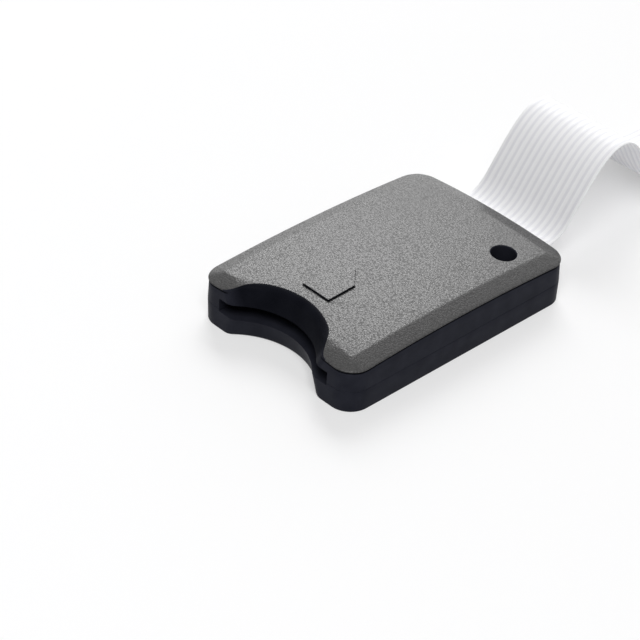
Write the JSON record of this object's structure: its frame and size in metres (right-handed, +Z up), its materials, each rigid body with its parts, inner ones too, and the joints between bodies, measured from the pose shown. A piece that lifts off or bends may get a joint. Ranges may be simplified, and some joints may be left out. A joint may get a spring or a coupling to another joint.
{
  "type": "sd card extension cable",
  "caption": "Low rectangular housing with a card socket and a finger notch, joined by a flat ribbon lead to a thin card-shaped plug.",
  "frame": {"origin": "bottom centre of the housing, on the surface it rests on", "axes": "+Z up, -Y towards the card slot and finger notch, +Y along the ribbon to the plug, +X to the right seen from the slot"},
  "size_m": [0.0372, 0.1951, 0.0186],
  "materials": {
    "cover_plastic": "fine spark-eroded texture, satin",
    "circuit_laminate": "solder-masked laminate",
    "socket_plastic": "moulded, matt",
    "shield_steel": "tinned sheet",
    "contact_metal": "thin gold plating",
    "light_lens": "clear cap over the light chip",
    "chip_ceramic": "glazed top, tinned ends",
    "capacitor_ceramic": "fired ceramic, tinned ends",
    "ribbon_film": "white polyester film over flat conductors",
    "bare_conductor": "tinned",
    "stiffener_film": "bonded polyester strip",
    "plug_laminate": "solder-masked laminate",
    "plug_plastic": "fine texture, satin",
    "gold_pad": "hard gold plating"
  },
  "bodies": {
    "root": {"top_cover": "cover_plastic", "bottom_cover": "cover_plastic", "circuit_board": "circuit_laminate", "socket_base": "socket_plastic", "socket_shield": "shield_steel", "card_detect_switch": "contact_metal", "write_protect_switch": "contact_metal", "status_light": "light_lens", "light_resistor": "chip_ceramic", "pull_up_resistor": "chip_ceramic", "supply_capacitor": "capacitor_ceramic", "ribbon_cable": "ribbon_film", "ribbon_tails_board": "bare_conductor", "ribbon_tails_plug": "bare_conductor", "ribbon_stiffener": "stiffener_film", "plug_board": "plug_laminate", "plug_cover": "plug_plastic", "plug_pads": "gold_pad", "socket_contact_1": "contact_metal", "socket_contact_2": "contact_metal", "socket_contact_3": "contact_metal", "socket_contact_4": "contact_metal", "socket_contact_5": "contact_metal", "socket_contact_6": "contact_metal", "socket_contact_7": "contact_metal", "socket_contact_8": "contact_metal", "socket_contact_9": "contact_metal"}
  },
  "joints": []
}
